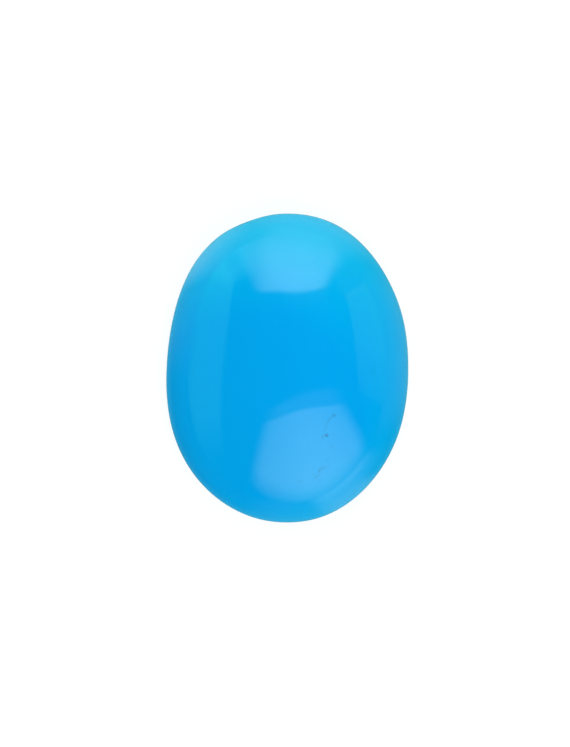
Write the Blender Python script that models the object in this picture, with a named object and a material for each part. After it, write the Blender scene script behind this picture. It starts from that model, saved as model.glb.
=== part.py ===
"""Oval turquoise cabochon: one polished stone with a flat back, a short wall and a high dome.

The stone lies on its back, with its origin at the middle of the back. X runs across its width,
Y along its length, and +Z points out of the dome. Sizes are in metres.
"""

import math

import bmesh
import bpy

MM = 0.001

# Driving dimensions.
LENGTH = 18.0 * MM
WIDTH = 14.1 * MM
HEIGHT = 6.3 * MM
GIRDLE_HEIGHT = 1.1 * MM  # from the back up to the widest line, where the dome starts
EASED_EDGE = 0.4 * MM  # radius of the rounded edge between the back and the wall

# The oval is a superellipse, a little fuller than a plain ellipse, whose power is 2.
OVAL_POWER = 2.125

# Where hand cutting left the oval full or flat: the angle from +X and the half spread of each
# place, in degrees, and how far it stands out of the oval.
HAND_CUT = {
    "full shoulder at the lower left": (216, 40, 0.15 * MM),
    "full shoulder at the upper left": (123, 24, 0.05 * MM),
    "flat beside the upper end": (105, 14, -0.06 * MM),
    "flat along the left flank": (160, 30, -0.085 * MM),
    "flat at the upper right": (48, 30, -0.07 * MM),
    "flat at the lower right": (303, 32, -0.07 * MM),
}

# The crown stands a little off the middle of the oval.
CROWN_X = 0.15 * MM
CROWN_Y = 0.25 * MM

# The slow waves that hand polishing leaves on the dome.
WAVE_DEPTH = 0.012 * MM
WAVE_LENGTH = 6.5 * MM
WAVE_TILT = math.radians(35)

# How finely the stone is divided.
SEGMENTS = 80
DOME_STEPS = 16
EDGE_STEPS = 4

SAME_POINT = 1e-6  # vertices this close on the unit post are one
TURQUOISE_BLUE = (0.004, 0.33, 0.79, 1.0)
POLISH_ROUGHNESS = 0.14


def unit_profile():
    """Half of the stone's section as (share of the oval's radius, height), from back to crown."""
    eased_share = EASED_EDGE / (WIDTH / 2)
    points = [(0.0, 0.0)]
    for step in range(EDGE_STEPS + 1):
        turn = math.radians(90) * step / EDGE_STEPS
        points.append((1 - eased_share * (1 - math.sin(turn)), EASED_EDGE * (1 - math.cos(turn))))
    dome_height = HEIGHT - GIRDLE_HEIGHT
    for step in range(DOME_STEPS):
        turn = math.radians(90) * step / DOME_STEPS
        points.append((math.cos(turn), GIRDLE_HEIGHT + dome_height * math.sin(turn)))
    points.append((0.0, HEIGHT))
    return points


def hand_cut_height(angle):
    """How far the oval stands out of the superellipse at an angle from +X."""
    height = 0.0
    for middle, half_spread, out in HAND_CUT.values():
        off = abs((math.degrees(angle) - middle + 180) % 360 - 180)
        if off < half_spread:
            height += out * math.cos(math.radians(90) * off / half_spread) ** 2
    return height


def oval_radius(angle):
    """Distance from the middle to the oval's edge at an angle from +X."""
    across = abs(math.cos(angle)) / (WIDTH / 2)
    along = abs(math.sin(angle)) / (LENGTH / 2)
    radius = (across**OVAL_POWER + along**OVAL_POWER) ** (-1 / OVAL_POWER)
    return radius + hand_cut_height(angle)


def polish_wave(x, y):
    """Height of the slow waves at a place on the dome."""
    u = x * math.cos(WAVE_TILT) + y * math.sin(WAVE_TILT)
    v = y * math.cos(WAVE_TILT) - x * math.sin(WAVE_TILT)
    pitch = 2 * math.pi / WAVE_LENGTH
    return WAVE_DEPTH * math.sin(pitch * u) * math.cos(pitch * v)


def place_on_stone(vertex):
    """Moves a vertex of the unit post to its place on the stone."""
    share = math.hypot(vertex.co.x, vertex.co.y)
    angle = math.atan2(vertex.co.y, vertex.co.x)
    radius = share * oval_radius(angle)
    x = radius * math.cos(angle)
    y = radius * math.sin(angle)
    z = vertex.co.z
    if z > GIRDLE_HEIGHT:
        inward = 1 - share**2
        z += inward * polish_wave(x, y)
        x += inward * CROWN_X
        y += inward * CROWN_Y
    vertex.co = (x, y, z)


def stone_mesh():
    """The stone's section turned into a round post of radius 1, then drawn out to the oval."""
    shape = bmesh.new()
    points = [shape.verts.new((share, 0.0, height)) for share, height in unit_profile()]
    edges = [shape.edges.new(pair) for pair in zip(points, points[1:])]
    bmesh.ops.spin(
        shape,
        geom=points + edges,
        cent=(0, 0, 0),
        axis=(0, 0, 1),
        angle=math.radians(360),
        steps=SEGMENTS,
        use_merge=True,
    )
    bmesh.ops.remove_doubles(shape, verts=shape.verts, dist=SAME_POINT)
    for vertex in shape.verts:
        place_on_stone(vertex)
    bmesh.ops.recalc_face_normals(shape, faces=shape.faces)
    mesh = bpy.data.meshes.new("turquoise_stone")
    shape.to_mesh(mesh)
    shape.free()
    mesh.shade_smooth()
    mesh.set_sharp_from_angle(angle=math.radians(30))
    return mesh


def turquoise():
    """Polished blue turquoise."""
    material = bpy.data.materials.new("turquoise")
    material.use_nodes = True
    shader = material.node_tree.nodes["Principled BSDF"]
    shader.inputs["Base Color"].default_value = TURQUOISE_BLUE
    shader.inputs["Roughness"].default_value = POLISH_ROUGHNESS
    shader.inputs["Metallic"].default_value = 0.0
    return material


def main():
    for thing in list(bpy.data.objects):
        bpy.data.objects.remove(thing)
    stone = bpy.data.objects.new("turquoise_stone", stone_mesh())
    stone.data.materials.append(turquoise())
    bpy.context.scene.collection.objects.link(stone)


main()
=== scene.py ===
"""Looks of the oval turquoise cabochon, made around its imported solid.

One polished stone lies on its flat back under soft studio panels, and the camera looks straight
down on it, with +Y up in the picture. Lengths are in metres, unless a name ends in _mm, and the
light panels are laid out by direction, in degrees away from straight up.
"""

import logging
import math
from collections.abc import Iterable
from dataclasses import dataclass, field
from enum import Enum

import bmesh
import bpy
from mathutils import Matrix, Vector


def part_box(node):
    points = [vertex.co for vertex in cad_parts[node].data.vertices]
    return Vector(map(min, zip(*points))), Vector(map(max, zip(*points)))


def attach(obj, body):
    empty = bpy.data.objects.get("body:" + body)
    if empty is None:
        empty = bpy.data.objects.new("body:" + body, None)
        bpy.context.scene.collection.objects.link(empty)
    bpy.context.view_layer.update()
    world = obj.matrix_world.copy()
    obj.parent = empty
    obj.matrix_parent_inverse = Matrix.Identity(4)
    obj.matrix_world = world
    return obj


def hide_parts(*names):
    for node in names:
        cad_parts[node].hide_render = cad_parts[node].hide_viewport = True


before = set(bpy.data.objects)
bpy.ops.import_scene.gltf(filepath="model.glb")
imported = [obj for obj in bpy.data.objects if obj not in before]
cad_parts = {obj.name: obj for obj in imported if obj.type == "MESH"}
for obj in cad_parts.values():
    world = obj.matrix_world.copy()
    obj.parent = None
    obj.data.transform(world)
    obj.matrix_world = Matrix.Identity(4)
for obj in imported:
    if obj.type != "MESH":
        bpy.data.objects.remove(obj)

MM = 0.001
STONE_NODE = "turquoise_stone"
STONE_BODY = "root"

# The picture's height, and its scale where the stone's wall ends.
PIXELS_HIGH = 747
PIXELS_PER_MM = 17.16

FULL_TURN = math.radians(360)
QUARTER_TURN = math.radians(90)

log = logging.getLogger("cabochon")

Colour = tuple[float, float, float]
Triple = tuple[float, float, float]
Pair = tuple[float, float]

# Where a Mix node keeps its share, its two values and its result, for each type of data.
MIX_SOCKETS = {"RGBA": (0, 6, 7, 2), "FLOAT": (0, 2, 3, 0)}


class Surface(Enum):
    """The finishes on the stone, by the material slot that holds each."""

    POLISHED = 0
    LAPPED = 1


@dataclass(frozen=True)
class Noise:
    """How a noise waves: per millimetre, in how many finer layers, and how strong those are."""

    waves_per_mm: float
    finer_layers: float = 2.0
    layer_strength: float = 0.5


NOISE_MIDDLE = 0.5
SOFT_CLOUDS = Noise(0.17, 3.0, 0.45)
VEILS = Noise(0.75, 4.0, 0.55)
FINE_GRAIN = Noise(9.0, 3.0, 0.6)
RAGGED_EDGE = Noise(6.0, 2.0, 0.6)
GLOSS_PATCHES = Noise(0.5)
PIT_PLACES = Noise(0.9, 1.0)
RIPPLE = Noise(0.35, 1.0)
SCRATCH_LINES = Noise(1.0, 3.0, 0.6)
BACK_VEINS = Noise(0.32, 5.0, 0.62)
VEIN_FADING = Noise(0.22, 1.0)


class Nodes:
    """A short way to add and join the nodes of one tree."""

    def __init__(self, tree: bpy.types.NodeTree) -> None:
        """Keeps the tree.

        Args:
            tree: The node tree to work in.
        """
        self.tree = tree

    def add(self, kind: str, **settings: object) -> bpy.types.Node:
        """Adds a node and sets its properties.

        Args:
            kind: The node's type name.
            settings: Its properties by name.

        Returns:
            The node.
        """
        node = self.tree.nodes.new(kind)
        for name, value in settings.items():
            setattr(node, name, value)
        return node

    def join(self, source: bpy.types.NodeSocket, target: bpy.types.NodeSocket) -> None:
        """Links an output to an input."""
        self.tree.links.new(source, target)

    def feed(self, target: bpy.types.NodeSocket, value: object) -> None:
        """Links a socket, or sets a plain value, on an input.

        Args:
            target: The input.
            value: An output socket, a number or a tuple.
        """
        if isinstance(value, bpy.types.NodeSocket):
            self.join(value, target)
        else:
            target.default_value = value

    def math(self, operation: str, *values: object, clamp: bool = False) -> bpy.types.NodeSocket:
        """Adds a Math node.

        Args:
            operation: Its operation.
            values: Sockets or numbers, in order.
            clamp: True to keep the result from 0 to 1.

        Returns:
            Its result.
        """
        node = self.add("ShaderNodeMath", operation=operation, use_clamp=clamp)
        for target, value in zip(node.inputs, values):
            self.feed(target, value)
        return node.outputs[0]

    def vector(self, operation: str, *values: object) -> bpy.types.Node:
        """Adds a Vector Math node.

        Args:
            operation: Its operation.
            values: Sockets or tuples, in order.

        Returns:
            The node, whose outputs are Vector and Value.
        """
        node = self.add("ShaderNodeVectorMath", operation=operation)
        for target, value in zip(node.inputs, values):
            self.feed(target, value)
        return node

    def ramp(self, value: object, low: float, high: float, start: float = 0.0, end: float = 1.0,
             smooth: bool = True) -> bpy.types.NodeSocket:
        """Maps a value from one range to another, held at both ends.

        Args:
            value: What is mapped.
            low: Where the range begins.
            high: Where it ends.
            start: The result at low.
            end: The result at high.
            smooth: True for an S curve, False for a straight line.

        Returns:
            The mapped value.
        """
        kind = "SMOOTHSTEP" if smooth else "LINEAR"
        node = self.add("ShaderNodeMapRange", interpolation_type=kind, clamp=True)
        for name, number in (("From Min", low), ("From Max", high), ("To Min", start), ("To Max", end)):
            node.inputs[name].default_value = number
        self.feed(node.inputs["Value"], value)
        return node.outputs["Result"]

    def noise(self, place: bpy.types.NodeSocket, kind: Noise) -> bpy.types.NodeSocket:
        """Adds a noise texture on a set of coordinates.

        Args:
            place: The coordinates, in millimetres.
            kind: How it waves.

        Returns:
            Its value, about NOISE_MIDDLE on average.
        """
        node = self.add("ShaderNodeTexNoise", noise_dimensions="3D")
        self.join(place, node.inputs["Vector"])
        node.inputs["Scale"].default_value = kind.waves_per_mm
        node.inputs["Detail"].default_value = kind.finer_layers
        node.inputs["Roughness"].default_value = kind.layer_strength
        return node.outputs[0]

    def drift(self, place: bpy.types.NodeSocket, kind: Noise) -> bpy.types.NodeSocket:
        """Adds a noise that drifts to both sides of zero."""
        return self.math("SUBTRACT", self.noise(place, kind), NOISE_MIDDLE)

    def mix(self, data_type: str, share: object, first: object, second: object) -> bpy.types.NodeSocket:
        """Mixes two values of one type.

        Args:
            data_type: RGBA for colours, FLOAT for numbers.
            share: How much of the second, from 0 to 1.
            first: The first value.
            second: The second value.

        Returns:
            The mixed value.
        """
        node = self.add("ShaderNodeMix", data_type=data_type)
        *targets, result = MIX_SOCKETS[data_type]
        for target, value in zip(targets, (share, first, second)):
            self.feed(node.inputs[target], value)
        return node.outputs[result]

    def group(self, tree: bpy.types.NodeTree, **values: object) -> bpy.types.Node:
        """Places a node group and feeds its inputs.

        Args:
            tree: The group's tree.
            values: What each input takes, by its name with underscores for spaces.

        Returns:
            The group node.
        """
        node = self.add("ShaderNodeGroup", node_tree=tree)
        for name, value in values.items():
            self.feed(node.inputs[name.replace("_", " ")], value)
        return node


def opaque(colour: Colour) -> tuple[float, float, float, float]:
    """The colour with an alpha of 1."""
    return (*colour, 1.0)


class EffectGroup:
    """A shader node group in the making, with its sockets and a tree to fill."""

    def __init__(self, name: str, inputs: dict[str, str], outputs: dict[str, str]) -> None:
        """Makes the group and its sockets.

        Args:
            name: The group's name.
            inputs: Socket types by input name.
            outputs: Socket types by output name.
        """
        self.tree = bpy.data.node_groups.new(name, "ShaderNodeTree")
        for in_out, sockets in (("INPUT", inputs), ("OUTPUT", outputs)):
            for socket_name, kind in sockets.items():
                self.tree.interface.new_socket(socket_name, in_out=in_out, socket_type=kind)
        self.nodes = Nodes(self.tree)
        self.given = self.nodes.add("NodeGroupInput").outputs
        self.result = self.nodes.add("NodeGroupOutput").inputs


NUMBER = "NodeSocketFloat"
COLOUR = "NodeSocketColor"
PLACE = "NodeSocketVector"

# Where the stone is deepest azure, how far the azure reaches along each axis, and the shares of that reach
# at which it begins to turn cyan and is wholly cyan. The paler cyan towards the top and the right is partly
# the stone's own colour and partly painted light, standing in for stronger light on that part of the dome.
AZURE_HEART_MM = (-1.5, -2.0, 2.0)
AZURE_REACH_MM = (11.0, 9.5, 14.0)
CYAN_BEGINS = 0.56
CYAN_FULL = 1.08

# How strong the veils are against the clouds.
VEIL_SHARE = 0.4

# Painted light and shade: the colour is slightly deeper on the stone's left and paler on its right, and this
# far from the middle the change is complete.
PAINTED_LIGHT_REACH_MM = 2.8


def body_colour_and_light_group() -> bpy.types.NodeTree:
    """The stone's blue with painted light: azure at heart, cyan towards the ends, with soft clouds and fine
    grain.

    Returns:
        A group from Place in millimetres, Azure, Cyan, Clouds, Grain and Paling to Color.
    """
    group = EffectGroup(
        "turquoise body and painted light",
        {"Place": PLACE, "Azure": COLOUR, "Cyan": COLOUR, "Clouds": NUMBER, "Grain": NUMBER,
         "Paling": NUMBER},
        {"Color": COLOUR},
    )
    nodes = group.nodes
    place = group.given["Place"]
    offset = nodes.vector("SUBTRACT", place, AZURE_HEART_MM).outputs["Vector"]
    reach = nodes.vector("DIVIDE", offset, AZURE_REACH_MM).outputs["Vector"]
    # Partly painted light: the cyan away from the azure heart also stands in for stronger light on the top
    # and right.
    zone = nodes.ramp(nodes.vector("LENGTH", reach).outputs["Value"], CYAN_BEGINS, CYAN_FULL, smooth=False)
    cloud = nodes.drift(place, SOFT_CLOUDS)
    veiled = nodes.math("MULTIPLY_ADD", nodes.drift(place, VEILS), VEIL_SHARE, cloud)
    share = nodes.math("MULTIPLY_ADD", veiled, group.given["Clouds"], zone, clamp=True)
    colour = nodes.mix("RGBA", share, group.given["Azure"], group.given["Cyan"])
    grain = nodes.drift(place, FINE_GRAIN)
    # Painted light and shade: paler towards +X and deeper towards -X, by the share given in Paling.
    sides = nodes.add("ShaderNodeSeparateXYZ")
    nodes.join(place, sides.inputs["Vector"])
    side = nodes.ramp(sides.outputs["X"], -PAINTED_LIGHT_REACH_MM, PAINTED_LIGHT_REACH_MM, -1.0, 1.0)
    paled = nodes.math("MULTIPLY_ADD", side, group.given["Paling"], 1.0)
    brightness = nodes.math("MULTIPLY_ADD", grain, group.given["Grain"], paled)
    shaded = nodes.vector("SCALE", colour)
    nodes.join(brightness, shaded.inputs["Scale"])
    nodes.join(shaded.outputs["Vector"], group.result["Color"])
    return group.tree


# A fleck is whole out to its core and gone at its end, as shares of its half sizes, and its edge
# wanders by its raggedness.
FLECK_CORE = 0.25
FLECK_END = 1.25
RAGGEDNESS = 1.1


def fleck_group() -> bpy.types.NodeTree:
    """One fleck or thread of matrix: a soft oval spot, which may be bent and has a ragged edge.

    Returns:
        A group from Place, Before and the fleck's sizes in millimetres to a Mask, which is the
        stronger of this fleck and Before.
    """
    group = EffectGroup(
        "matrix fleck",
        {"Place": PLACE, "Before": NUMBER, "Centre": PLACE, "Turn": PLACE, "Half Length": NUMBER,
         "Half Width": NUMBER, "Bend": NUMBER, "Strength": NUMBER},
        {"Mask": NUMBER},
    )
    nodes = group.nodes
    given = group.given
    offset = nodes.vector("SUBTRACT", given["Place"], given["Centre"]).outputs["Vector"]
    turned = nodes.add("ShaderNodeVectorRotate", rotation_type="EULER_XYZ", invert=True)
    nodes.join(offset, turned.inputs["Vector"])
    nodes.join(given["Turn"], turned.inputs["Rotation"])
    parts = nodes.add("ShaderNodeSeparateXYZ")
    nodes.join(turned.outputs["Vector"], parts.inputs["Vector"])
    along = parts.outputs["X"]
    bow = nodes.math("MULTIPLY", nodes.math("MULTIPLY", along, along), given["Bend"])
    across = nodes.math("SUBTRACT", parts.outputs["Y"], bow)
    u = nodes.math("DIVIDE", along, given["Half Length"])
    v = nodes.math("DIVIDE", across, given["Half Width"])
    reach = nodes.math("SQRT", nodes.math("ADD", nodes.math("MULTIPLY", u, u), nodes.math("MULTIPLY", v, v)))
    rough_reach = nodes.math("MULTIPLY_ADD", nodes.drift(given["Place"], RAGGED_EDGE), RAGGEDNESS, reach)
    spot = nodes.ramp(rough_reach, FLECK_CORE, FLECK_END, 1.0, 0.0)
    here = nodes.math("MULTIPLY", spot, given["Strength"])
    nodes.join(nodes.math("MAXIMUM", here, given["Before"]), group.result["Mask"])
    return group.tree


# The tiny pits: how close together they could be, the shares of a cell at which a pit's floor
# ends and its rim begins, the noise values between which the stone becomes pitted, and how much
# duller a pit is.
PITS_PER_MM = 3.2
PIT_FLOOR = 0.03
PIT_RIM = 0.09
PITTED_BEGINS = 0.56
PITTED_FULL = 0.66
PIT_DULLNESS = 0.25

# How high the ripple is against the depth of a full pit.
RIPPLE_SHARE = 0.5


def polish_group() -> bpy.types.NodeTree:
    """What the polishing left: a slight change of gloss over the stone and a faint ripple.

    Returns:
        A group from Place, Gloss, Unevenness and Pitting to Roughness and Height.
    """
    group = EffectGroup(
        "hand polish",
        {"Place": PLACE, "Gloss": NUMBER, "Unevenness": NUMBER, "Pitting": NUMBER},
        {"Roughness": NUMBER, "Height": NUMBER},
    )
    nodes = group.nodes
    place = group.given["Place"]
    patch = nodes.drift(place, GLOSS_PATCHES)
    roughness = nodes.math("MULTIPLY_ADD", patch, group.given["Unevenness"], group.given["Gloss"])
    pits = nodes.add("ShaderNodeTexVoronoi", voronoi_dimensions="3D", feature="F1")
    nodes.join(place, pits.inputs["Vector"])
    pits.inputs["Scale"].default_value = PITS_PER_MM
    pit = nodes.ramp(pits.outputs["Distance"], PIT_FLOOR, PIT_RIM, 1.0, 0.0)
    rarely = nodes.ramp(nodes.noise(place, PIT_PLACES), PITTED_BEGINS, PITTED_FULL)
    hole = nodes.math("MULTIPLY", nodes.math("MULTIPLY", pit, rarely), group.given["Pitting"])
    ripple = nodes.math("MULTIPLY", nodes.noise(place, RIPPLE), RIPPLE_SHARE)
    height = nodes.math("SUBTRACT", ripple, hole)
    nodes.join(nodes.math("MULTIPLY_ADD", hole, PIT_DULLNESS, roughness), group.result["Roughness"])
    nodes.join(height, group.result["Height"])
    return group.tree


# The sets of scratches on the back, as (direction in degrees, strength), how the noise is drawn
# out into lines, and the noise values between which a line rises.
SCRATCH_SETS = ((24.0, 1.0), (-38.0, 0.45), (71.0, 0.3))
SCRATCH_STRETCH = (0.35, 16.0, 1.0)
SCRATCH_LOW = 0.35
SCRATCH_HIGH = 0.65


def scratch_group() -> bpy.types.NodeTree:
    """Straight lapping scratches that run one way, crossed by two fainter sets.

    Returns:
        A group from Place in millimetres to a Height.
    """
    group = EffectGroup("lapping scratches", {"Place": PLACE}, {"Height": NUMBER})
    nodes = group.nodes
    total: object = 0.0
    for turn, strength in SCRATCH_SETS:
        mapping = nodes.add("ShaderNodeMapping", vector_type="POINT")
        nodes.join(group.given["Place"], mapping.inputs["Vector"])
        mapping.inputs["Rotation"].default_value = (0.0, 0.0, math.radians(turn))
        mapping.inputs["Scale"].default_value = SCRATCH_STRETCH
        line = nodes.ramp(nodes.noise(mapping.outputs["Vector"], SCRATCH_LINES), SCRATCH_LOW, SCRATCH_HIGH)
        total = nodes.math("MULTIPLY_ADD", line, strength, total)
    nodes.join(total, group.result["Height"])
    return group.tree


@dataclass(frozen=True)
class Fleck:
    """One fleck or thread of matrix on the dome, placed on the stone in millimetres."""

    x: float
    y: float
    half_length: float
    half_width: float
    turn: float
    strength: float
    bend: float = 0.0


DOME_FLECKS = {
    "upper speck": Fleck(2.63, -2.70, 0.17, 0.12, 20, 0.42),
    "thread below the upper speck": Fleck(2.40, -2.93, 0.34, 0.08, 54, 0.30, -0.5),
    "thread that fades out": Fleck(2.16, -3.42, 0.36, 0.08, 76, 0.17, 0.4),
    "darkest speck": Fleck(2.23, -3.85, 0.15, 0.11, -38, 0.8),
    "smear beside the darkest speck": Fleck(2.00, -3.92, 0.18, 0.09, 80, 0.30),
    "faint spot on the right": Fleck(2.50, -4.46, 0.18, 0.12, 30, 0.12),
    "faint spot in the middle": Fleck(2.27, -5.24, 0.16, 0.11, 60, 0.12),
    "right of the lower pair": Fleck(2.06, -5.71, 0.20, 0.12, 15, 0.30),
    "left of the lower pair": Fleck(1.84, -5.83, 0.17, 0.11, 75, 0.42),
    "streak under the lower pair": Fleck(1.68, -6.19, 0.28, 0.10, 48, 0.25, 0.3),
    "grain under the streak": Fleck(1.86, -6.43, 0.07, 0.06, 0, 0.35),
    "grain left of the streak": Fleck(1.48, -6.04, 0.07, 0.06, 0, 0.25),
    "upper grain on the right": Fleck(2.35, -5.54, 0.08, 0.06, 30, 0.18),
    "lower grain on the right": Fleck(2.31, -5.95, 0.08, 0.06, 0, 0.18),
    "far grain on the right": Fleck(2.86, -5.88, 0.08, 0.07, 80, 0.18),
    "dash at the lower left": Fleck(0.74, -6.48, 0.16, 0.05, 4, 0.25),
    "smudge near the right side": Fleck(4.84, -0.19, 0.32, 0.22, 70, 0.07),
}


# The threads of matrix on the back: the noise value that they follow, how far from it they end,
# the noise values between which they show, and how strong they then are.
VEIN_VALUE = 0.47
VEIN_HALF_WIDTH = 0.012
VEIN_SHOWS = 0.5
VEIN_FULL = 0.72
VEIN_STRENGTH = 0.4


@dataclass(frozen=True)
class Turquoise:
    """The finish of the stone: its colours, its matrix and how well it is polished."""

    azure: Colour = (0.0, 0.338, 0.82)
    cyan: Colour = (0.0, 0.46, 0.79)
    matrix: Colour = (0.0, 0.15, 0.4)
    back_matrix: Colour = (0.02, 0.12, 0.22)
    back_dust: Colour = (0.36, 0.62, 0.78)
    index: float = 1.6
    specular_tint: Colour = (0.62, 1.0, 1.0)
    clouds: float = 0.30
    grain: float = 0.05
    # Painted light and shade: how much paler the right side is than the left.
    painted_light_paling: float = 0.03
    gloss: float = 0.065
    unevenness: float = 0.03
    pitting: float = 0.25
    matrix_dullness: float = 0.4
    matrix_height: float = -0.5
    ripple_height: float = 0.0016 * MM
    back_dust_share: float = 0.16
    back_gloss: float = 0.46
    back_unevenness: float = 0.25
    back_pitting: float = 1.0
    scratch_height: float = 0.004 * MM
    groups: dict[str, bpy.types.NodeTree] = field(default_factory=dict)

    def build(self) -> dict[Surface, bpy.types.Material]:
        """Makes the groups and the two materials.

        Returns:
            The material of each surface.
        """
        self.groups["body"] = body_colour_and_light_group()
        self.groups["fleck"] = fleck_group()
        self.groups["polish"] = polish_group()
        self.groups["scratches"] = scratch_group()
        return {Surface.POLISHED: self.polished(), Surface.LAPPED: self.lapped()}

    def start(self, name: str) -> tuple[Nodes, bpy.types.Material, bpy.types.Node, bpy.types.NodeSocket]:
        """Makes an empty material with its shader and its coordinates.

        Args:
            name: The material's name.

        Returns:
            The node helper, the material, its Principled shader, and the place in millimetres.
        """
        material = bpy.data.materials.new(name)
        material.use_nodes = True
        nodes = Nodes(material.node_tree)
        shader = material.node_tree.nodes["Principled BSDF"]
        shader.inputs["Metallic"].default_value = 0.0
        shader.inputs["IOR"].default_value = self.index
        shader.inputs["Specular Tint"].default_value = opaque(self.specular_tint)
        where = nodes.add("ShaderNodeTexCoord").outputs["Object"]
        mapping = nodes.add("ShaderNodeMapping", vector_type="POINT")
        nodes.join(where, mapping.inputs["Vector"])
        mapping.inputs["Scale"].default_value = (1 / MM, 1 / MM, 1 / MM)
        return nodes, material, shader, mapping.outputs["Vector"]

    def body(self, nodes: Nodes, place: bpy.types.NodeSocket) -> bpy.types.NodeSocket:
        """Places the body colour, with its painted light, in a material.

        Args:
            nodes: The material's nodes.
            place: The coordinates in millimetres.

        Returns:
            The colour.
        """
        body = nodes.group(self.groups["body"], Place=place, Azure=opaque(self.azure),
                           Cyan=opaque(self.cyan), Clouds=self.clouds, Grain=self.grain,
                           Paling=self.painted_light_paling)
        return body.outputs["Color"]

    def polished(self) -> bpy.types.Material:
        """The polished dome and wall, with the flecks of matrix.

        Returns:
            The material.
        """
        nodes, material, shader, place = self.start("polished turquoise")
        flat_place = nodes.vector("MULTIPLY", place, (1.0, 1.0, 0.0)).outputs["Vector"]
        mask: object = 0.0
        for fleck in DOME_FLECKS.values():
            spot = nodes.group(self.groups["fleck"], Place=flat_place, Before=mask,
                               Centre=(fleck.x, fleck.y, 0.0), Turn=(0.0, 0.0, math.radians(fleck.turn)),
                               Half_Length=fleck.half_length, Half_Width=fleck.half_width,
                               Bend=fleck.bend, Strength=fleck.strength)
            mask = spot.outputs["Mask"]
        colour = nodes.mix("RGBA", mask, self.body(nodes, place), opaque(self.matrix))
        nodes.join(colour, shader.inputs["Base Color"])
        polish = nodes.group(self.groups["polish"], Place=place, Gloss=self.gloss,
                             Unevenness=self.unevenness, Pitting=self.pitting)
        roughness = nodes.math("MULTIPLY_ADD", mask, self.matrix_dullness, polish.outputs["Roughness"])
        nodes.join(roughness, shader.inputs["Roughness"])
        height = nodes.math("MULTIPLY_ADD", mask, self.matrix_height, polish.outputs["Height"])
        self.raise_surface(nodes, shader, height, self.ripple_height)
        return material

    def lapped(self) -> bpy.types.Material:
        """The flat back, ground on a lap and left satin.

        Returns:
            The material.
        """
        nodes, material, shader, place = self.start("lapped turquoise")
        off_vein = nodes.math("SUBTRACT", nodes.noise(place, BACK_VEINS), VEIN_VALUE)
        thread = nodes.ramp(nodes.math("ABSOLUTE", off_vein), 0.0, VEIN_HALF_WIDTH, 1.0, 0.0)
        fading = nodes.ramp(nodes.noise(place, VEIN_FADING), VEIN_SHOWS, VEIN_FULL, 0.0, VEIN_STRENGTH)
        mask = nodes.math("MULTIPLY", thread, fading)
        dusty = nodes.mix("RGBA", self.back_dust_share, self.body(nodes, place), opaque(self.back_dust))
        nodes.join(nodes.mix("RGBA", mask, dusty, opaque(self.back_matrix)), shader.inputs["Base Color"])
        polish = nodes.group(self.groups["polish"], Place=place, Gloss=self.back_gloss,
                             Unevenness=self.back_unevenness, Pitting=self.back_pitting)
        nodes.join(polish.outputs["Roughness"], shader.inputs["Roughness"])
        scratches = nodes.group(self.groups["scratches"], Place=place)
        height = nodes.math("ADD", scratches.outputs["Height"], polish.outputs["Height"])
        self.raise_surface(nodes, shader, height, self.scratch_height)
        return material

    @staticmethod
    def raise_surface(nodes: Nodes, shader: bpy.types.Node, height: bpy.types.NodeSocket,
                      distance: float) -> None:
        """Gives a shader its fine relief.

        Args:
            nodes: The material's nodes.
            shader: The Principled shader.
            height: The relief.
            distance: How high a relief of 1 is.
        """
        bump = nodes.add("ShaderNodeBump")
        bump.inputs["Strength"].default_value = 1.0
        bump.inputs["Distance"].default_value = distance
        nodes.join(height, bump.inputs["Height"])
        nodes.join(bump.outputs["Normal"], shader.inputs["Normal"])


@dataclass(frozen=True)
class HandCut:
    """A place where hand cutting left the oval full or flat."""

    angle: float
    half_spread: float
    out: float


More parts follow.
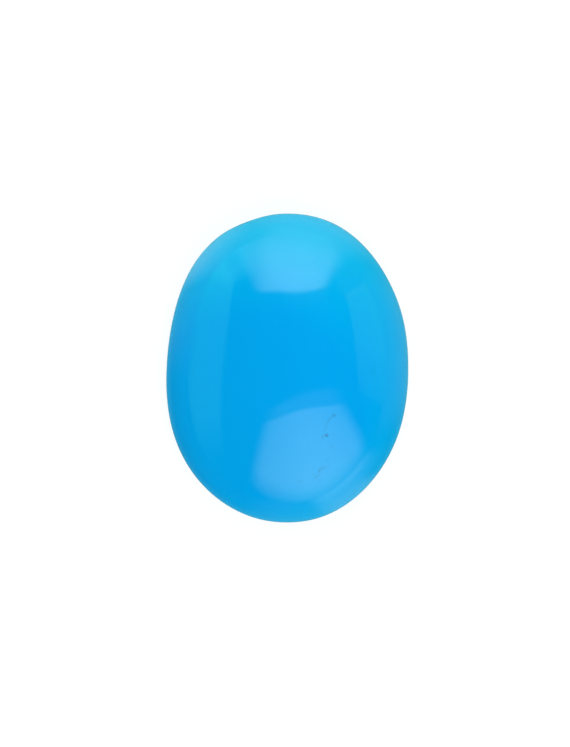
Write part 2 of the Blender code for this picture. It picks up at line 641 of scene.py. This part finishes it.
@dataclass
class Stone:
    """The cabochon: a flat back, a rounded edge, a short wall and a high dome."""

    width: float
    length: float
    height: float
    girdle_height: float = 1.1 * MM
    eased_edge: float = 0.4 * MM
    oval_power: float = 2.125
    crown: Pair = (0.15 * MM, 0.25 * MM)
    wave_depth: float = 0.012 * MM
    wave_length: float = 6.5 * MM
    wave_tilt: float = math.radians(35)
    segments: int = 256
    dome_steps: int = 112
    wall_steps: int = 4
    edge_steps: int = 12
    back_steps: int = 6
    same_point: float = 1e-6
    hand_cuts: dict[str, HandCut] = field(default_factory=lambda: {
        "full shoulder at the lower left": HandCut(216, 40, 0.15 * MM),
        "full shoulder at the upper left": HandCut(123, 24, 0.05 * MM),
        "flat beside the upper end": HandCut(105, 14, -0.06 * MM),
        "flat along the left flank": HandCut(160, 30, -0.085 * MM),
        "flat at the upper right": HandCut(48, 30, -0.07 * MM),
        "flat at the lower right": HandCut(303, 32, -0.07 * MM),
    })

    def profile(self) -> list[Pair]:
        """Half of the section, from the middle of the back to the crown.

        Returns:
            Points as (share of the oval's radius, height).
        """
        eased_share = self.eased_edge / (self.width / 2)
        points = [((1 - eased_share) * step / self.back_steps, 0.0) for step in range(self.back_steps)]
        for step in range(self.edge_steps + 1):
            turn = QUARTER_TURN * step / self.edge_steps
            points.append((1 - eased_share * (1 - math.sin(turn)), self.eased_edge * (1 - math.cos(turn))))
        for step in range(1, self.wall_steps):
            wall = self.girdle_height - self.eased_edge
            points.append((1.0, self.eased_edge + wall * step / self.wall_steps))
        for step in range(self.dome_steps):
            turn = QUARTER_TURN * step / self.dome_steps
            rise = (self.height - self.girdle_height) * math.sin(turn)
            points.append((math.cos(turn), self.girdle_height + rise))
        points.append((0.0, self.height))
        return points

    def oval_radius(self, angle: float) -> float:
        """How far the oval's edge is from its middle.

        Args:
            angle: The direction from +X.

        Returns:
            The distance.
        """
        across = abs(math.cos(angle)) / (self.width / 2)
        along = abs(math.sin(angle)) / (self.length / 2)
        radius = (across**self.oval_power + along**self.oval_power) ** (-1 / self.oval_power)
        for cut in self.hand_cuts.values():
            off = abs((math.degrees(angle) - cut.angle + 180) % 360 - 180)
            if off < cut.half_spread:
                radius += cut.out * math.cos(QUARTER_TURN * off / cut.half_spread) ** 2
        return radius

    def polish_wave(self, x: float, y: float) -> float:
        """The height of the slow waves that hand polishing leaves, at a place on the dome."""
        u = x * math.cos(self.wave_tilt) + y * math.sin(self.wave_tilt)
        v = y * math.cos(self.wave_tilt) - x * math.sin(self.wave_tilt)
        pitch = FULL_TURN / self.wave_length
        return self.wave_depth * math.sin(pitch * u) * math.cos(pitch * v)

    def settle(self, vertex: bmesh.types.BMVert) -> None:
        """Moves a vertex of the unit post to its place on the stone.

        Args:
            vertex: The vertex, on a post of radius 1.
        """
        share = math.hypot(vertex.co.x, vertex.co.y)
        angle = math.atan2(vertex.co.y, vertex.co.x)
        radius = share * self.oval_radius(angle)
        x = radius * math.cos(angle)
        y = radius * math.sin(angle)
        z = vertex.co.z
        if z > self.girdle_height:
            inward = 1 - share**2
            z += inward * self.polish_wave(x, y)
            x += inward * self.crown[0]
            y += inward * self.crown[1]
        vertex.co = (x, y, z)

    def build(self, finishes: dict[Surface, bpy.types.Material]) -> bpy.types.Object:
        """Spins the section into a post, draws it out to the oval and dresses it.

        Args:
            finishes: The material of each surface.

        Returns:
            The stone.
        """
        shape = bmesh.new()
        points = [shape.verts.new((share, 0.0, height)) for share, height in self.profile()]
        edges = [shape.edges.new(pair) for pair in zip(points, points[1:])]
        bmesh.ops.spin(shape, geom=points + edges, cent=(0, 0, 0), axis=(0, 0, 1), angle=FULL_TURN,
                       steps=self.segments, use_merge=True)
        bmesh.ops.remove_doubles(shape, verts=shape.verts, dist=self.same_point)
        for vertex in shape.verts:
            self.settle(vertex)
        bmesh.ops.recalc_face_normals(shape, faces=shape.faces)
        for face in shape.faces:
            on_the_back = all(vertex.co.z < self.same_point for vertex in face.verts)
            face.material_index = (Surface.LAPPED if on_the_back else Surface.POLISHED).value
        mesh = bpy.data.meshes.new("turquoise_cabochon")
        shape.to_mesh(mesh)
        shape.free()
        mesh.shade_smooth()
        for surface in Surface:
            mesh.materials.append(finishes[surface])
        stone = bpy.data.objects.new("turquoise_cabochon", mesh)
        bpy.context.scene.collection.objects.link(stone)
        return stone


# How finely a light panel is divided, half its size before it is laid out, how far in from a side
# that side's own brightness reaches, and what makes a bow whole in the middle of a side.
PANEL_STEPS = 24
PANEL_HALF = 0.5
SHARE_REACH = 0.5
BOW_FACTOR = 4


@dataclass(frozen=True)
class Panel:
    """A soft studio light panel, given by where its corners are as seen from the stone.

    A corner is a pair of degrees away from straight up, towards +X and towards +Y. The order is
    inner left, inner right, outer right, outer left, and inner is the side nearest to straight up.
    A soft side fades to nothing over that share of the panel, and a side's share is how bright the
    panel is there against its middle. Its inner side bows inwards and its outer side outwards, by
    so many degrees in the middle.
    """

    name: str
    corners: tuple[Pair, Pair, Pair, Pair]
    radiance: float
    colour: Colour = (1.0, 1.0, 1.0)
    soft_inner: float = 0.02
    soft_outer: float = 0.3
    soft_left: float = 0.05
    soft_right: float = 0.05
    inner_share: float = 1.0
    left_share: float = 1.0
    right_share: float = 1.0
    bow: float = 0.0
    outer_bow: float = 0.0
    distance: float = 0.6

    def build(self) -> bpy.types.Object:
        """Makes the panel, which gives light but isn't seen itself.

        Returns:
            The panel.
        """
        shape = bmesh.new()
        shape.loops.layers.uv.new("panel")
        bmesh.ops.create_grid(shape, x_segments=PANEL_STEPS, y_segments=PANEL_STEPS, size=PANEL_HALF,
                              calc_uvs=True)
        inner_left, inner_right, outer_right, outer_left = (Vector(corner) for corner in self.corners)
        for vertex in shape.verts:
            across = vertex.co.x + PANEL_HALF
            outward = vertex.co.y + PANEL_HALF
            inner = inner_left.lerp(inner_right, across)
            outer = self.sweep(outer_left, outer_right, across)
            spot = inner.lerp(outer, outward)
            reach = self.outer_bow * outward - self.bow * (1 - outward)
            spot += spot.normalized() * reach * BOW_FACTOR * across * (1 - across)
            away = math.radians(spot.length)
            level = spot.normalized() * math.sin(away)
            vertex.co = Vector((level.x, level.y, math.cos(away))) * self.distance
        mesh = bpy.data.meshes.new(self.name)
        shape.to_mesh(mesh)
        shape.free()
        mesh.materials.append(self.glow())
        panel = bpy.data.objects.new(self.name, mesh)
        bpy.context.scene.collection.objects.link(panel)
        panel.visible_camera = False
        panel.visible_shadow = False
        return panel

    @staticmethod
    def sweep(first: Vector, second: Vector, share: float) -> Vector:
        """Goes from one direction to another around the stone.

        Args:
            first: Where it starts, in degrees from straight up.
            second: Where it ends.
            share: How far it has gone, from 0 to 1.

        Returns:
            The direction there.
        """
        turn = first.angle_signed(second) * -share
        reach = first.length + (second.length - first.length) * share
        angle = math.atan2(first.y, first.x) + turn
        return Vector((math.cos(angle), math.sin(angle))) * reach

    def glow(self) -> bpy.types.Material:
        """The panel's light, which fades towards its soft sides.

        Returns:
            The material.
        """
        material = bpy.data.materials.new(self.name)
        material.use_nodes = True
        material.node_tree.nodes.clear()
        nodes = Nodes(material.node_tree)
        parts = nodes.add("ShaderNodeSeparateXYZ")
        nodes.join(nodes.add("ShaderNodeUVMap", uv_map="panel").outputs["UV"], parts.inputs["Vector"])
        across = parts.outputs["X"]
        outward = parts.outputs["Y"]
        strength: object = self.radiance
        for value, low, high, start, end in (
            (outward, 0.0, self.soft_inner, 0.0, 1.0),
            (outward, 1 - self.soft_outer, 1.0, 1.0, 0.0),
            (outward, 0.0, SHARE_REACH, self.inner_share, 1.0),
            (across, 0.0, self.soft_left, 0.0, 1.0),
            (across, 1 - self.soft_right, 1.0, 1.0, 0.0),
            (across, 0.0, SHARE_REACH, self.left_share, 1.0),
            (across, 1 - SHARE_REACH, 1.0, 1.0, self.right_share),
        ):
            strength = nodes.math("MULTIPLY", strength, nodes.ramp(value, low, high, start, end))
        light = nodes.add("ShaderNodeEmission")
        light.inputs["Color"].default_value = opaque(self.colour)
        nodes.join(strength, light.inputs["Strength"])
        added = nodes.add("ShaderNodeAddShader")
        nodes.join(light.outputs["Emission"], added.inputs[0])
        nodes.join(nodes.add("ShaderNodeBsdfTransparent").outputs["BSDF"], added.inputs[1])
        nodes.join(added.outputs["Shader"], nodes.add("ShaderNodeOutputMaterial").inputs["Surface"])
        return material


PANELS = (
    Panel("top_softbox", ((-26, 36.4), (32.3, 38.2), (86, 86), (-67, 101)), 2.0, soft_inner=0.045,
          soft_outer=0.8, soft_left=0.3, soft_right=0.19, right_share=0.8, bow=4.2),
    Panel("top_haze", ((-8, 23), (34, 20), (42, 46), (-14, 46)), 0.27, soft_inner=0.8, soft_outer=0.1,
          soft_left=0.3, soft_right=0.4, distance=0.65),
    Panel("upper_right_haze", ((33, 40), (46, 29), (84, 52), (62, 84)), 0.11, soft_inner=0.2,
          soft_outer=0.1, soft_left=0.1, soft_right=0.1, distance=0.65),
    Panel("bottom_softbox", ((-19, -26.5), (45, -17.2), (79.5, -46), (-35, -67)), 2.05, (1.0, 0.98, 0.87),
          soft_inner=0.02, soft_outer=0.5, soft_left=0.12, soft_right=0.15, inner_share=0.62,
          left_share=0.6, right_share=0.6, bow=4.0, outer_bow=20.5),
    Panel("bottom_haze", ((-17, -19), (40, -8), (62, -30), (-26, -45)), 0.34, soft_inner=0.1,
          soft_outer=0.6, soft_left=0.2, soft_right=0.25, bow=4.0, distance=0.65),
    Panel("left_wall", ((-47.3, -56), (-41.5, 50), (-65, 83), (-71, -71)), 0.56, (0.23, 1.0, 0.4),
          soft_inner=0.06, soft_outer=0.4, soft_left=0.4, soft_right=0.15, right_share=1.7, bow=-4.5),
    Panel("upper_left_wall", ((-49, 35.5), (-20, 43), (-32, 100), (-87, 50)), 0.82, (0.4, 1.0, 0.9),
          soft_inner=0.3, soft_outer=0.05, soft_left=0.45, soft_right=0.2, bow=-2.0, distance=0.65),
    Panel("right_wall", ((46.8, 36.5), (54, -13), (98, -26), (90, 60)), 0.45, (0.5, 1.0, 0.55),
          soft_inner=0.05, soft_outer=0.05, soft_left=0.04, soft_right=0.08, right_share=0.45),
)


# Painted reflections: the floor glows only where the stone's polish mirrors it, and this bright: the least,
# and the places where it is brighter, as (direction from the stone and half spread in degrees, brighter near
# the stone by, brighter far from it by).
PAINTED_REFLECTION_LEAST = 0.02
PAINTED_REFLECTION_LOBES = (
    (80, 37, 0.44, 0.85), (126, 22, 0.58, 0.35), (150, 34, 0.12, 0.15), (275, 27, 0.1, 0.12),
    (298, 16, 0.42, 0.0), (304, 24, 0.0, 1.0), (12, 42, 0.2, 0.15),
)

# How far from the middle of the stone near and far are.
FLOOR_NEAR = 10 * MM
FLOOR_FAR = 40 * MM

# Right beside the stone the painted reflections give way to painted shade, and a painted blue glow stands in
# for the stone's blue light thrown back from the floor. Both end this many times as far from the middle as
# the stone's edge.
PAINTED_BOUNCE_BLUE: Colour = (0.2, 0.9, 1.0)
PAINTED_BOUNCE_STRENGTH = 0.42
PAINTED_SHADE_AND_BOUNCE_END = 1.5
PAINTED_SHADE_SHINE = 0.25


@dataclass
class Studio:
    """The plain pale floor, the soft light and the camera."""

    stone_width: float
    stone_length: float
    floor_radius: float = 1.5
    floor_segments: int = 96
    floor_drop: float = 0.01 * MM
    floor_white: float = 0.94
    floor_roughness: float = 0.7
    floor_specular: float = 0.1
    floor_bleach: float = 0.75
    bleach_level: float = 1.08
    fill: float = 0.685
    fill_lean: Triple = (-0.19, 0.075, 0.18)
    fill_lost_at_the_ends: float = 0.3
    dark: float = 0.01
    backdrop: float = 1.0
    millimetres_high: float = PIXELS_HIGH / PIXELS_PER_MM
    lens: float = 150.0
    sensor: float = 36.0
    nearest_seen: float = 0.01
    farthest_seen: float = 10.0
    aim: Triple = (-0.135 * MM, -0.32 * MM, 1.1 * MM)

    def build(self) -> None:
        """Makes the floor, the panels, the surrounding light and the camera."""
        self.make_floor()
        for panel in PANELS:
            panel.build()
            log.info("light panel %s", panel.name)
        self.make_surroundings()
        self.make_camera()

    def make_floor(self) -> None:
        """Makes the floor, a plain pale disc."""
        shape = bmesh.new()
        bmesh.ops.create_circle(shape, cap_ends=True, segments=self.floor_segments,
                                radius=self.floor_radius)
        mesh = bpy.data.meshes.new("floor")
        shape.to_mesh(mesh)
        shape.free()
        mesh.materials.append(self.floor_finish())
        floor = bpy.data.objects.new("floor", mesh)
        floor.location.z = -self.floor_drop
        bpy.context.scene.collection.objects.link(floor)

    def floor_finish(self) -> bpy.types.Material:
        """The pale floor: bleached to the eye, matt in soft light, and in the stone's polish a dim glow with
        painted reflections.

        Returns:
            The material.
        """
        material = bpy.data.materials.new("pale floor")
        material.use_nodes = True
        nodes = Nodes(material.node_tree)
        shader = material.node_tree.nodes["Principled BSDF"]
        shader.inputs["Base Color"].default_value = opaque((self.floor_white,) * 3)
        shader.inputs["Roughness"].default_value = self.floor_roughness
        shader.inputs["Specular IOR Level"].default_value = self.floor_specular
        path = nodes.add("ShaderNodeLightPath").outputs
        bleached = nodes.add("ShaderNodeMixShader")
        nodes.join(nodes.math("MULTIPLY", path["Is Camera Ray"], self.floor_bleach), bleached.inputs[0])
        nodes.join(shader.outputs["BSDF"], bleached.inputs[1])
        white = nodes.add("ShaderNodeEmission")
        white.inputs["Strength"].default_value = self.bleach_level
        nodes.join(white.outputs["Emission"], bleached.inputs[2])
        # Painted reflections: the floor glows for glossy rays only, though it is no lamp.
        mirrored = nodes.add("ShaderNodeEmission")
        nodes.join(self.painted_floor_reflections(nodes), mirrored.inputs["Color"])
        chosen = nodes.add("ShaderNodeMixShader")
        nodes.join(path["Is Glossy Ray"], chosen.inputs[0])
        nodes.join(bleached.outputs["Shader"], chosen.inputs[1])
        nodes.join(mirrored.outputs["Emission"], chosen.inputs[2])
        nodes.join(chosen.outputs["Shader"], material.node_tree.nodes["Material Output"].inputs["Surface"])
        return material

    def painted_floor_reflections(self, nodes: Nodes) -> bpy.types.NodeSocket:
        """The painted reflections: how bright the floor glows where the stone's polish mirrors it.

        Args:
            nodes: The floor material's nodes.

        Returns:
            The brightness as a colour.
        """
        where = nodes.add("ShaderNodeTexCoord").outputs["Object"]
        towards = nodes.vector("NORMALIZE", where).outputs["Vector"]
        distance = nodes.vector("LENGTH", where).outputs["Value"]
        shine: object = PAINTED_REFLECTION_LEAST
        for turn, spread, near, far in PAINTED_REFLECTION_LOBES:
            lobe = (math.cos(math.radians(turn)), math.sin(math.radians(turn)), 0.0)
            lined_up = nodes.vector("DOT_PRODUCT", towards, lobe).outputs["Value"]
            share = nodes.ramp(lined_up, math.cos(math.radians(spread)), 1.0)
            strength = nodes.ramp(distance, FLOOR_NEAR, FLOOR_FAR, near, far, smooth=False)
            shine = nodes.math("MULTIPLY_ADD", share, strength, shine)
        outline = nodes.vector("DIVIDE", where, (self.stone_width / 2, self.stone_length / 2, 1.0))
        from_edge = nodes.vector("LENGTH", outline.outputs["Vector"]).outputs["Value"]
        # Painted shade: the painted reflections dim right beside the stone.
        shine = nodes.math("MULTIPLY", shine, nodes.ramp(from_edge, 1.0, PAINTED_SHADE_AND_BOUNCE_END, PAINTED_SHADE_SHINE, 1.0))
        # Painted bounce light: the stone's blue glows on the floor beside it, seen only in the polish.
        painted_bounce = nodes.vector("SCALE", PAINTED_BOUNCE_BLUE)
        nodes.join(nodes.ramp(from_edge, 1.0, PAINTED_SHADE_AND_BOUNCE_END, PAINTED_BOUNCE_STRENGTH, 0.0), painted_bounce.inputs["Scale"])
        return nodes.vector("ADD", painted_bounce.outputs["Vector"], shine).outputs["Vector"]

    def make_surroundings(self) -> None:
        """Lights all round: a soft fill for what is matt, dark for what is mirrored."""
        world = bpy.data.worlds.new("soft surroundings")
        bpy.context.scene.world = world
        world.use_nodes = True
        world.node_tree.nodes.clear()
        nodes = Nodes(world.node_tree)
        path = nodes.add("ShaderNodeLightPath").outputs
        towards = nodes.add("ShaderNodeTexCoord").outputs["Generated"]
        lean = nodes.vector("DOT_PRODUCT", towards, self.fill_lean).outputs["Value"]
        parts = nodes.add("ShaderNodeSeparateXYZ")
        nodes.join(towards, parts.inputs["Vector"])
        endwise = nodes.math("MULTIPLY", parts.outputs["Y"], parts.outputs["Y"])
        fill = nodes.math("MULTIPLY_ADD", endwise, -self.fill_lost_at_the_ends, self.fill)
        level = nodes.mix("FLOAT", path["Is Glossy Ray"], nodes.math("ADD", lean, fill), self.dark)
        seen = nodes.mix("FLOAT", path["Is Camera Ray"], level, self.backdrop)
        light = nodes.add("ShaderNodeBackground")
        nodes.join(seen, light.inputs["Strength"])
        nodes.join(light.outputs["Background"], nodes.add("ShaderNodeOutputWorld").inputs["Surface"])

    def make_camera(self) -> None:
        """Puts the camera straight above the stone, with +Y up in the picture."""
        lens = bpy.data.cameras.new("camera")
        lens.lens = self.lens
        lens.sensor_fit = "VERTICAL"
        lens.sensor_height = self.sensor
        lens.clip_start = self.nearest_seen
        lens.clip_end = self.farthest_seen
        camera = bpy.data.objects.new("camera", lens)
        above = self.lens / self.sensor * self.millimetres_high * MM
        camera.location = Vector(self.aim) + Vector((0.0, 0.0, above))
        bpy.context.scene.collection.objects.link(camera)
        bpy.context.scene.camera = camera
        bpy.context.scene.view_settings.view_transform = "Standard"


def main() -> None:
    """Builds the stone and the studio in order."""
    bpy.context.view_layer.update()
    low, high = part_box(STONE_NODE)
    size = high - low
    stone = Stone(width=size.x, length=size.y, height=size.z).build(Turquoise().build())
    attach(stone, STONE_BODY)
    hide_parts(STONE_NODE)
    log.info("stone %s, %d faces", stone.name, len(stone.data.polygons))
    Studio(stone_width=size.x, stone_length=size.y).build()


if __name__ == "__main__":
    logging.basicConfig(level=logging.INFO)
    main()
